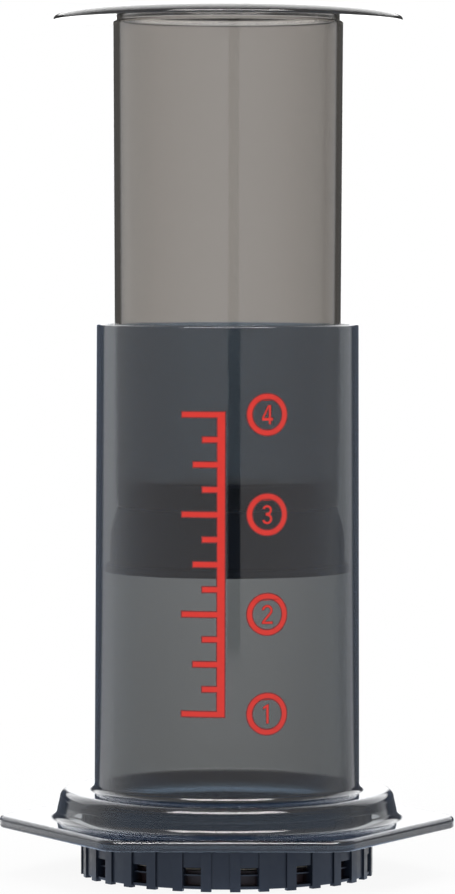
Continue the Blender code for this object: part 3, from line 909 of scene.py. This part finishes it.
def build_paper(material):
    flat = PAPER - PAPER_EDGE
    rows = [(0, PAPER_MIDDLE + PAPER_DIP), (flat, PAPER_MIDDLE + PAPER_EDGE)]
    rows += [(PAPER, PAPER_MIDDLE), (flat, PAPER_MIDDLE - PAPER_EDGE)]
    rows += [(0, PAPER_MIDDLE - PAPER_DIP)]
    mesh = to_mesh(lathe(rows, even_angles(SEAL_STEPS), False), "paper_disc")
    link("paper_disc", mesh, material, "cap", "paper_filter")


# Print


def wall_radius(z):
    return RIM + TUBE_DRAFT * (RIM_TOP - z) / (RIM_TOP - WEB_TOP)


def wrapped(bm, angle, height, name):
    """Bend a flat print in millimetres on to the chamber's front."""
    for vertex in bm.verts:
        z = height + vertex.co.y
        turn = angle + vertex.co.x / wall_radius(z)
        r = wall_radius(z) + PRINT_LIFT + vertex.co.z
        vertex.co = (r * MM * math.sin(turn), -r * MM * math.cos(turn), z * MM)
    bmesh.ops.recalc_face_normals(bm, faces=bm.faces)
    return to_mesh(bm, name, SHARP_PRINT)


def filled(outlines, name):
    """The outlines as one flat solid, with holes where one lies inside another."""
    curve = bpy.data.curves.new(name, "CURVE")
    curve.dimensions = "2D"
    curve.fill_mode = "BOTH"
    curve.extrude = PRINT_HALF
    for outline in outlines:
        spline = curve.splines.new("POLY")
        spline.points.add(len(outline) - 1)
        for point, (x, y) in zip(spline.points, outline):
            point.co = (x, y, 0, 1)
        spline.use_cyclic_u = True
    guide = bpy.data.objects.new(name, curve)
    bpy.context.scene.collection.objects.link(guide)
    graph = bpy.context.evaluated_depsgraph_get()
    mesh = bpy.data.meshes.new_from_object(guide.evaluated_get(graph))
    bpy.data.objects.remove(guide)
    bm = bmesh.new()
    bm.from_mesh(mesh)
    bmesh.ops.remove_doubles(bm, verts=bm.verts, dist=MERGE)
    return bm


def flat_print(outlines, name, border=PRINT_BORDER):
    """A filled outline with its border marked, cut into strips so that it bends smoothly."""
    bm = filled(outlines, name)
    layer = bm.faces.layers.float.new("border")
    inside = 0.9 * PRINT_HALF
    front = [face for face in bm.faces if face.calc_center_median().z > inside]
    inset = bmesh.ops.inset_region(bm, faces=front, thickness=border, use_even_offset=True)
    sides = [face for face in bm.faces if abs(face.calc_center_median().z) < inside]
    for face in inset["faces"] + sides:
        face[layer] = 1.0
    for strip in range(-PRINT_STRIPS_EACH_WAY, PRINT_STRIPS_EACH_WAY + 1):
        x = PRINT_STRIP * strip + STRIP_SHIFT
        everything = bm.verts[:] + bm.edges[:] + bm.faces[:]
        bmesh.ops.bisect_plane(
            bm, geom=everything, plane_co=(x, 0, 0), plane_no=(1, 0, 0), dist=1e-6
        )
    return bm


def circle(radius):
    return arc(0, 0, radius, radius, 0, 360, DOSE_RING_STEPS)[:-1]


def numeral(number):
    """The outlines of a numeral from 1 to 4, about its middle."""
    if number == 1:
        shapes = [ONE]
    elif number == 2:
        outer = arc(*TWO_BOWL, TWO_OUT, TWO_OUT, 180, -35, 24)
        inner = arc(*TWO_BOWL, TWO_IN, TWO_IN, -35, 180, 20)
        shapes = [outer + TWO_FOOT + inner]
    elif number == 3:
        outer = arc(*THREE_TOP, THREE_TOP_OUT, THREE_TOP_OUT, 170, -46, 24)
        outer += arc(*THREE_LOW, THREE_LOW_OUT, THREE_LOW_OUT, 50, -170, 24)
        low = arc(*THREE_LOW, THREE_LOW_IN, THREE_LOW_IN, -170, 90, 18)
        top = arc(*THREE_TOP, THREE_TOP_IN, THREE_TOP_IN, -90, 170, 18)
        shapes = [outer + low + [(THREE_ARM, low[-1][1]), (THREE_ARM, top[0][1])] + top]
    else:
        shapes = [FOUR, FOUR_HOLE]
    return [
        [((x - DIGIT_MIDDLE) * DIGIT_HEIGHT, (y - 0.5) * DIGIT_HEIGHT) for x, y in shape]
        for shape in shapes
    ]


def scale_outline():
    """A spine with ticks to its left, upwards from the first mark."""
    pitch = MARK_SPACING / TICKS_PER_MARK
    last = SCALE_TICKS - 1
    outline = [(SPINE_RIGHT, -TICK_HALF), (SPINE_RIGHT, last * pitch + TICK_HALF)]
    for tick in reversed(range(SCALE_TICKS)):
        reach = SHORT_TICK if tick % 2 else MIDDLE_TICK
        reach = reach if tick % TICKS_PER_MARK else LONG_TICK
        y = tick * pitch
        if tick < last:
            outline.append((SPINE_LEFT, y + TICK_HALF))
        outline += [(-reach, y + TICK_HALF), (-reach, y - TICK_HALF)]
        if tick > 0:
            outline.append((SPINE_LEFT, y - TICK_HALF))
    return outline


def link_print(mesh, inks, replaced):
    """Add a print, with a darker ink on its border."""
    border = mesh.attributes["border"]
    slots = [int(value.value > 0.5) for value in border.data]
    mesh.attributes.remove(border)
    link(mesh.name, mesh, inks[0], "chamber", replaced)
    mesh.materials.append(inks[1])
    mesh.polygons.foreach_set("material_index", slots)


def build_print(inks):
    for number in range(1, MARK_COUNT + 1):
        height = FIRST_MARK + (number - 1) * MARK_SPACING
        ring = flat_print([circle(DOSE_RING_OUT), circle(DOSE_RING_IN)], f"ring_{number}")
        mesh = wrapped(ring, MARK_ANGLE, height, f"printed_ring_{number}")
        link_print(mesh, inks, f"dose_ring_{number}")
        digit = flat_print(numeral(number), f"digit_{number}", DIGIT_BORDER)
        mesh = wrapped(digit, MARK_ANGLE, height, f"printed_digit_{number}")
        link_print(mesh, inks, f"dose_numeral_{number}")
    scale = flat_print([scale_outline()], "scale")
    mesh = wrapped(scale, SCALE_ANGLE, FIRST_MARK, "printed_scale")
    link_print(mesh, inks, "measuring_scale")


# Studio


def around(tree, azimuth, stops, peak):
    """A level all round the set, from (degrees, level) stops of at most the peak."""
    ramp = tree.nodes.new("ShaderNodeValToRGB")
    ramp.color_ramp.interpolation = "EASE"
    elements = ramp.color_ramp.elements
    while len(elements) > 1:
        elements.remove(elements[0])
    for number, (degrees, level) in enumerate(stops):
        element = elements.new(degrees / 360 + 0.5) if number else elements[0]
        element.position = degrees / 360 + 0.5
        element.color = (level / peak, level / peak, level / peak, 1)
    tree.links.new(maths(tree, "MULTIPLY_ADD", azimuth, 1 / TURN, 0.5), ramp.inputs[0])
    return maths(tree, "MULTIPLY", ramp.outputs[0], peak)


def azimuth_and_height(tree, vector):
    apart = tree.nodes.new("ShaderNodeSeparateXYZ")
    tree.links.new(vector, apart.inputs["Vector"])
    azimuth = maths(tree, "ARCTAN2", apart.outputs["X"], apart.outputs["Y"])
    return azimuth, apart.outputs["Z"]


def gloss_light(tree, azimuth, gap_share):
    """What gloss sees low down: the camera stands in a dark gap between the softboxes."""
    level = around(tree, azimuth, GLOSS, GLOSS_PEAK)
    side = maths(tree, "ABSOLUTE", maths(tree, "SUBTRACT", azimuth, GAP_MIDDLE))
    gap = maths(tree, "MULTIPLY", smooth_between(tree, side, *GAP_HALF), gap_share)
    return maths(tree, "MULTIPLY", level, maths(tree, "MULTIPLY_ADD", gap, -GAP_DIMMING, 1.0))


def high_light(tree, azimuth, height, low):
    """What gloss sees higher up: the bright back of the tent, and the key softbox in front."""
    side = maths(tree, "ABSOLUTE", azimuth)
    rise = smooth_between(tree, height, *REAR_RISE_HEIGHTS)
    rear_level = maths(tree, "MULTIPLY_ADD", rise, REAR_RISE, REAR_LEVEL)
    rear = maths(tree, "MULTIPLY", smooth_between(tree, side, *REAR_AZIMUTHS),
                 smooth_between(tree, height, *REAR_HEIGHTS))
    level = blend_levels(tree, rear, low, rear_level)
    band = maths(tree, "MULTIPLY", smooth_between(tree, height, *KEY_LOW),
                 smooth_between(tree, height, *KEY_HIGH))
    key = maths(tree, "MULTIPLY", band, smooth_between(tree, side, *KEY_AZIMUTHS))
    return maths(tree, "ADD", level, maths(tree, "MULTIPLY", key, KEY_LEVEL))


def seen_light(tree, azimuth, gloss, bluish):
    """The level and colour that gloss and clear plastic see. A ray through clear plastic
    counts as glossy too, so it is told apart by Is Transmission Ray."""
    path = tree.nodes.new("ShaderNodeLightPath")
    passed = path.outputs["Is Transmission Ray"]
    depth = path.outputs["Transmission Depth"]
    single = maths(tree, "LESS_THAN", depth, ONE_WALL_DEPTH)
    kept = maths(tree, "MULTIPLY_ADD", single, -ONE_WALL_LOSS, 1.0)
    through = maths(tree, "MULTIPLY", around(tree, azimuth, THROUGH, THROUGH_PEAK), kept)
    level = blend_levels(tree, passed, gloss, through)
    many = maths(tree, "GREATER_THAN", depth, MANY_WALLS_DEPTH)
    through_tint = blend_colours(tree, many, BEHIND_FEW, BEHIND_MANY)
    front_tint = blend_colours(tree, bluish, WARM, BLUISH)
    behind = smooth_between(tree, maths(tree, "ABSOLUTE", azimuth), *BEHIND_AZIMUTHS)
    gloss_tint = blend_colours(tree, behind, front_tint, WHITE)
    return level, blend_colours(tree, passed, gloss_tint, through_tint)


def glossy_or_clear(tree, path):
    glossy = path.outputs["Is Glossy Ray"]
    return maths(tree, "MAXIMUM", glossy, path.outputs["Is Transmission Ray"])


def light_node(tree, kind, level, colour):
    """A Background or Emission node, with its level and colour as values or sockets."""
    made = tree.nodes.new(kind)
    if isinstance(level, float):
        made.inputs["Strength"].default_value = level
        made.inputs["Color"].default_value = (*colour, 1)
    else:
        tree.links.new(level, made.inputs["Strength"])
        tree.links.new(colour, made.inputs["Color"])
    return made.outputs[0]


def studio_world():
    world = bpy.data.worlds.new("studio")
    bpy.context.scene.world = world
    world.use_nodes = True
    tree = world.node_tree
    tree.nodes.clear()
    output = tree.nodes.new("ShaderNodeOutputWorld")
    path = tree.nodes.new("ShaderNodeLightPath")
    place = tree.nodes.new("ShaderNodeTexCoord")
    azimuth, height = azimuth_and_height(tree, place.outputs["Generated"])
    low = gloss_light(tree, azimuth, smooth_between(tree, height, *GAP_HEIGHTS))
    gloss = high_light(tree, azimuth, height, low)
    bluish = maths(tree, "MULTIPLY", smooth_between(tree, height, *BLUISH_LOW),
                   smooth_between(tree, height, *BLUISH_HIGH))
    level, tint = seen_light(tree, azimuth, gloss, bluish)
    drawn = light_node(tree, "ShaderNodeBackground", level, tint)
    soft = light_node(tree, "ShaderNodeBackground", DULL_LEVEL, WHITE)
    white = light_node(tree, "ShaderNodeBackground", 1.0, WHITE)
    lit = blend_shaders(tree, glossy_or_clear(tree, path), soft, drawn)
    seen = blend_shaders(tree, path.outputs["Is Camera Ray"], lit, white)
    tree.links.new(seen, output.inputs["Surface"])


def floor_material():
    material, tree, shader = principled("floor_white")
    shader.inputs["Base Color"].default_value = (*FLOOR_COLOUR, 1)
    shader.inputs["Roughness"].default_value = 0.9
    shader.inputs["Specular IOR Level"].default_value = 0.0
    path = tree.nodes.new("ShaderNodeLightPath")
    place = tree.nodes.new("ShaderNodeTexCoord")
    length = tree.nodes.new("ShaderNodeVectorMath")
    length.operation = "LENGTH"
    tree.links.new(place.outputs["Object"], length.inputs[0])
    reach = length.outputs["Value"]

    # The camera sees the floor turn to pure white away from the object's shadow
    white = light_node(tree, "ShaderNodeEmission", 1.0, WHITE)
    whiteness = spread(tree, reach, *WHITE_SHARES, *WHITE_REACH)
    share = maths(tree, "MULTIPLY", whiteness, path.outputs["Is Camera Ray"])
    seen = blend_shaders(tree, share, shader.outputs[0], white)

    # Gloss and clear plastic see the floor glow, as painted light: brighter near the object, and
    # the studio beyond it
    azimuth, _ = azimuth_and_height(tree, place.outputs["Object"])
    gloss = gloss_light(tree, azimuth, smooth_between(tree, reach, *GAP_REACH))
    level, tint = seen_light(tree, azimuth, gloss, smooth_between(tree, reach, *BLUISH_REACH))
    # A ring of the floor round the object glows brighter still: painted light, seen only by gloss
    # and clear plastic
    glow_ring = maths(tree, "MULTIPLY", smooth_between(tree, reach, *GLOW_RING_IN),
                      smooth_between(tree, reach, *GLOW_RING_OUT))
    gain = maths(tree, "MULTIPLY_ADD", glow_ring, GLOW_RING_GAIN, 1.0)
    beyond = maths(tree, "MULTIPLY", level, gain)
    drawn_level = blend_levels(tree, smooth_between(tree, reach, *NEAR_REACH), NEAR_LEVEL, beyond)
    drawn = light_node(tree, "ShaderNodeEmission", drawn_level, tint)
    output = tree.nodes["Material Output"]
    lit = blend_shaders(tree, glossy_or_clear(tree, path), seen, drawn)
    tree.links.new(lit, output.inputs["Surface"])
    return material


def studio_floor():
    mesh = bpy.data.meshes.new("floor")
    bm = bmesh.new()
    bmesh.ops.create_circle(bm, cap_ends=True, segments=64, radius=FLOOR_RADIUS)
    bm.to_mesh(mesh)
    bm.free()
    floor = bpy.data.objects.new("floor", mesh)
    bpy.context.scene.collection.objects.link(floor)
    floor.location.z = -FLOOR_DROP
    mesh.materials.append(floor_material())


def softbox(name, place, size, power):
    light = bpy.data.lights.new(name, "AREA")
    light.shape = "RECTANGLE"
    light.size = size
    light.size_y = size
    light.energy = power
    obj = bpy.data.objects.new(name, light)
    bpy.context.scene.collection.objects.link(obj)
    obj.location = place
    aim = Vector(LIT_POINT) - Vector(place)
    obj.rotation_euler = aim.to_track_quat("-Z", "Y").to_euler()
    obj.visible_glossy = False
    obj.visible_transmission = False


def camera():
    data = bpy.data.cameras.new("camera")
    data.sensor_width = SENSOR
    data.lens = FOCAL_PIXELS / PHOTO_HEIGHT * SENSOR
    obj = bpy.data.objects.new("camera", data)
    bpy.context.scene.collection.objects.link(obj)
    obj.location = CAMERA_PLACE
    aim = Matrix.Rotation(math.radians(CAMERA_TILT), 4, "X")
    aim @= Matrix.Rotation(math.radians(CAMERA_ROLL), 4, "Z")
    obj.rotation_euler = aim.to_euler()
    bpy.context.scene.camera = obj


def main():
    plunger_plastic = smoke_plastic("smoke_plastic_plunger", PLUNGER_ABSORB, PLUNGER_DENSITY)
    build_chamber(chamber_plastic())
    build_plunger(plunger_plastic)
    build_seal(rubber())
    build_cap(cap_plastic())
    build_paper(paper())
    red = ink("red_ink", INK_DARK, INK_LIGHT)
    build_print((red, ink("red_ink_border", BORDER_DARK, BORDER_LIGHT)))
    studio_world()
    studio_floor()
    for name, place, size, power in SOFTBOXES:
        softbox(name, place, size, power)
    camera()
    bpy.context.scene.view_settings.view_transform = "Standard"


main()
